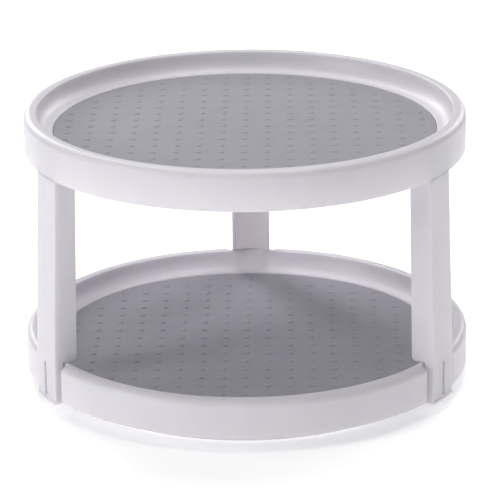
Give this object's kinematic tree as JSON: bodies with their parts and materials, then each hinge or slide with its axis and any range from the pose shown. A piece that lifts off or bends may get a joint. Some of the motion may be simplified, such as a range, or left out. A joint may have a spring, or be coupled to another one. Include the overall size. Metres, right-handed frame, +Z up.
{
  "type": "lazy susan turntable",
  "caption": "Two-tier round turntable: white rimmed trays with grey non-slip mats, joined by channel legs, turning on a ball bearing over a low fixed base.",
  "frame": {"origin": "centre of the round footprint, on the surface that the rubber feet stand on", "axes": "+Z up along the turning axis, +Y towards the back leg, +X to the right seen from the front"},
  "size_m": [0.3048, 0.3078, 0.191],
  "materials": {
    "shell": "satin moulded white plastic",
    "mat": "soft grey non-slip sheet with small raised domes",
    "foot_rubber": "matt dark rubber",
    "steel": "plain bright steel",
    "cage": "natural moulded plastic"
  },
  "bodies": {
    "base": {"base_plate": "shell", "foot_pad_1": "foot_rubber", "foot_pad_2": "foot_rubber", "foot_pad_3": "foot_rubber", "foot_pad_4": "foot_rubber", "foot_pad_5": "foot_rubber", "foot_pad_6": "foot_rubber", "pivot_screw": "steel", "pivot_washer": "steel"},
    "bearing_cage": {"ball_cage": "cage", "ball_01": "steel", "ball_02": "steel", "ball_03": "steel", "ball_04": "steel", "ball_05": "steel", "ball_06": "steel", "ball_07": "steel", "ball_08": "steel", "ball_09": "steel", "ball_10": "steel", "ball_11": "steel", "ball_12": "steel"},
    "turntable": {"lower_tray": "shell", "lower_mat": "mat", "leg_back": "shell", "leg_left": "shell", "leg_right": "shell", "upper_tray": "shell", "upper_mat": "mat"}
  },
  "joints": [
    {"name": "turntable_spin", "type": "hinge", "parent": "base", "child": "turntable", "pos_m": [0, 0, 0.011], "axis": [0, 0, 1], "continuous": true},
    {"name": "cage_spin", "type": "hinge", "parent": "base", "child": "bearing_cage", "pos_m": [0, 0, 0.011], "axis": [0, 0, 1], "continuous": true}
  ],
  "couplings": [
    {"joint": "cage_spin", "follows": "turntable_spin", "ratio": 0.5}
  ]
}
